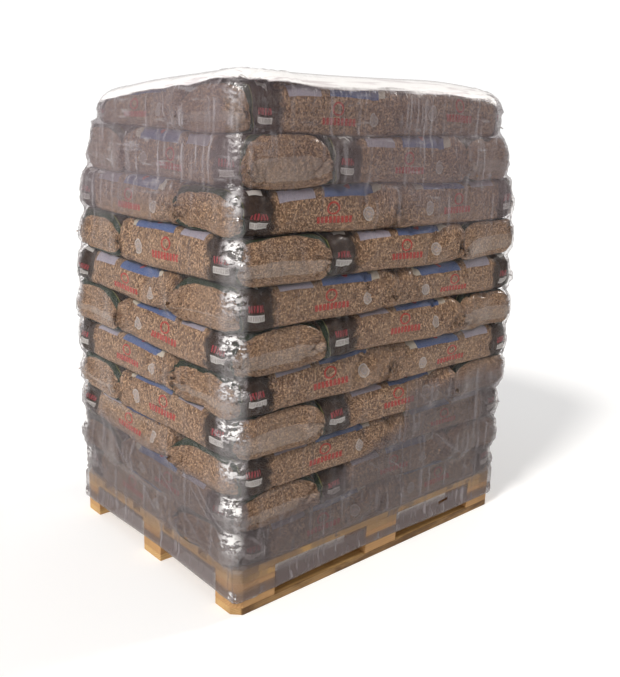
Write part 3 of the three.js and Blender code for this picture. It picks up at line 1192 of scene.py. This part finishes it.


# Clear, milky where it lies in many turns, and painted white as a highlight where the sun catches its folds
def filmMaterial():
    look = filmLook
    paint = Paint("clear_stretch_film")
    place = paint.objectPlace()
    x, y, z = paint.separate(place)
    names = ("haze", "lower", "crumple", "shoulder", "flash")
    haze, lower, crumple, shoulder, flash = (paint.attribute(name) for name in names)

    def streaky(*vector):
        return paint.noise(paint.combine(*vector), 1.0, 2, 0.6)

    streaks = streaky(x * 58, y * 58, z * 2.6)
    patches = paint.noise(place, 7.0, 3, 0.6)
    fine = paint.noise(place, 42.0, 2, 0.6)
    level = streaky(x * 9, y * 9, z * 62)
    drawn = streaky((x - y + z * 1.4) * 36, (x + y - z) * 3, 0)
    streak = paint.rise(streaks, 0.52, 0.72)
    lines = paint.rise(level + (drawn - level) * lower, 0.58, 0.72) * paint.rise(z, 0.15, 0.2)
    # Gathered along the edges of the top, and loose in soft folds further in
    inset = paint.smaller(topHalfX - abs(x), topHalfY - abs(y))
    inner = paint.rise(inset, 0.04, 0.1)
    ridges = streaky(inset * 60, (x + y) * 3.5, z * 40) * (1 - inner) + patches * inner
    gathered = paint.rise(shoulder + (ridges - 0.5) * 1.3, 0.35, 0.75)
    folds = streaky((x + y) * 5, (x - y * 1.4) * 22, 0)
    loose = shoulder * (0.6 + 0.7 * patches + 0.35 * paint.rise(folds, 0.48, 0.72))
    shoulder = gathered * (1 - inner) + loose * inner
    density = haze * (0.6 + 0.7 * patches) + (haze * 0.5 + 0.05) * streak + haze * lines * 0.4
    # Over the top edges the film is milky and dense, with a painted white highlight of the sun's glare
    density = density + shoulder * (0.8 + 0.16 * paint.rise(fine, 0.4, 0.56))
    # One upright fold low on the front, and a slit torn beside it
    front = paint.rise(y, -0.42, -0.44)
    fold = paint.rise(abs(x - look["foldX"] + z * 0.02), 0.005, 0.001) * paint.rise(z, 0.6, 0.56) * front
    torn = paint.inside(x + fine * 0.02, z - x * 0.1, look["slit"], 0.002) * front
    facets = streaky(x * 60, y * 60, z * 100)
    # The flash is a painted highlight: white patches in the film's colour and density
    flash = flash * paint.rise(facets * 0.7 + level * 0.3, 0.43, 0.57)
    density = paint.smaller(density + fold * 0.3 + flash * 0.85, look["densest"])
    facing = paint.add("ShaderNodeLayerWeight", None, {"Blend": 0.5}, ("Facing",))
    grazing = paint.rise(facing, 0.72, 0.98)
    veil = paint.coats(
        paint.mixColour(lower, look["veil"], look["lowerVeil"]),
        (paint.larger(streak, lines) * (0.6 - lower * 0.35), look["streak"]),
        (grazing * 0.9, look["grazing"]),
        # Painted highlight in white: the flashes, and the sunlit part of the milky shoulder
        (paint.larger(shoulder * (1 - grazing * 0.65), flash), look["white"]),
        (shoulder * paint.rise(ridges, 0.54, 0.66) * 0.55, look["ridge"]),
    )
    density = (density + grazing * 0.5 * (1 - density)) * (1 - torn)
    normal = paint.bump(fine * (0.5 + crumple * 1.6) + streaks * 0.5, 0.006, 0.7)
    body = paint.principled({
        "Base Color": veil, "Roughness": 0.45, "Specular IOR Level": 0.2, "Normal": normal,
    })
    clear = paint.add("ShaderNodeBsdfTransparent", None, {"Color": look["clear"]})
    layered = paint.add("ShaderNodeMixShader", None, {0: density, 1: clear, 2: body})
    polish = {"Color": look["gloss"], "Roughness": 0.22, "Normal": normal}
    gloss = paint.add("ShaderNodeBsdfGlossy", None, polish)
    rim = (0.006 + 0.07 * crumple + 0.3 * facing ** 5) * (1 - torn)
    return paint.finish(paint.add("ShaderNodeMixShader", None, {0: rim, 1: layered, 2: gloss}))


filmMesh = buildFilm(buildTree(sackPieces))
addHaze(filmMesh)
filmMesh.materials.append(filmMaterial())
film = linkPiece("stretch_wrap", filmMesh)
shell = film.modifiers.new("Thickness", "SOLIDIFY")
shell.thickness = wrap["thickness"]
shell.offset = 1
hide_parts("stretch_film")
report("film")


# Floor, light and world
studio = {
    "floorSize": 80,
    "floorColour": (0.86, 0.86, 0.86),
    "floorGlow": 0.2,
    "suns": {  # bearing, elevation and width are in degrees
        "key_sun": {"bearing": 190, "elevation": 42, "strength": 2.4, "width": 12, "colour": (1, 0.97, 0.93)},
        "edge_sun": {"bearing": -12, "elevation": 30, "strength": 1.0, "width": 10, "colour": (1, 0.96, 0.9)},
    },
    "sunDistance": 6,
    "horizon": (1.02, 1.02, 1.02),
    "zenith": (0.42, 0.43, 0.45),
    "behind": (0.415, 0.4, 0.385),
}


def addFloor():
    bm = bmesh.new()
    bmesh.ops.create_grid(bm, x_segments=8, y_segments=8, size=studio["floorSize"] / 2)
    mesh = bpy.data.meshes.new("studio_floor")
    bm.to_mesh(mesh)
    bm.free()
    paint = Paint("pale_floor")
    mesh.materials.append(paint.finish(paint.principled({
        "Base Color": (*studio["floorColour"], 1), "Roughness": 0.9,
        "Emission Color": (1, 1, 1, 1), "Emission Strength": studio["floorGlow"],
    })))
    floor = bpy.data.objects.new("studio_floor", mesh)
    scene.collection.objects.link(floor)


# A wide soft sun that shines towards the origin
def addSun(name, bearing, elevation, strength, width, colour):
    light = bpy.data.lights.new(name, "SUN")
    light.energy = strength
    light.angle = math.radians(width)
    light.color = colour
    lamp = bpy.data.objects.new(name, light)
    scene.collection.objects.link(lamp)
    turn, rise = math.radians(bearing), math.radians(elevation)
    away = Vector((math.cos(rise) * math.cos(turn), math.cos(rise) * math.sin(turn), math.sin(rise)))
    lamp.location = studio["sunDistance"] * away
    lamp.rotation_euler = (-away).to_track_quat("-Z", "Y").to_euler()


# The world is white at eye level behind the load, and darker overhead and towards -Y
def addWorld():
    paint = Paint("studio_world", "worlds")
    sideways, upwards = paint.separate(paint.add("ShaderNodeTexCoord", None, None, ("Generated",)))[1:]
    stops = [(0.2, studio["horizon"]), (0.6, studio["zenith"])]
    sky = paint.add("ShaderNodeValToRGB", {"stops": stops}, {0: upwards})
    sky = paint.mixColour(paint.rise(sideways, 0.0, -0.5), sky, studio["behind"])
    background = paint.add("ShaderNodeBackground", None, {"Color": sky})
    scene.world = paint.finish(background, "ShaderNodeOutputWorld")


addFloor()
for sunName, sun in studio["suns"].items():
    addSun(sunName, **sun)
addWorld()
scene.view_settings.view_transform = "Standard"
report("studio")
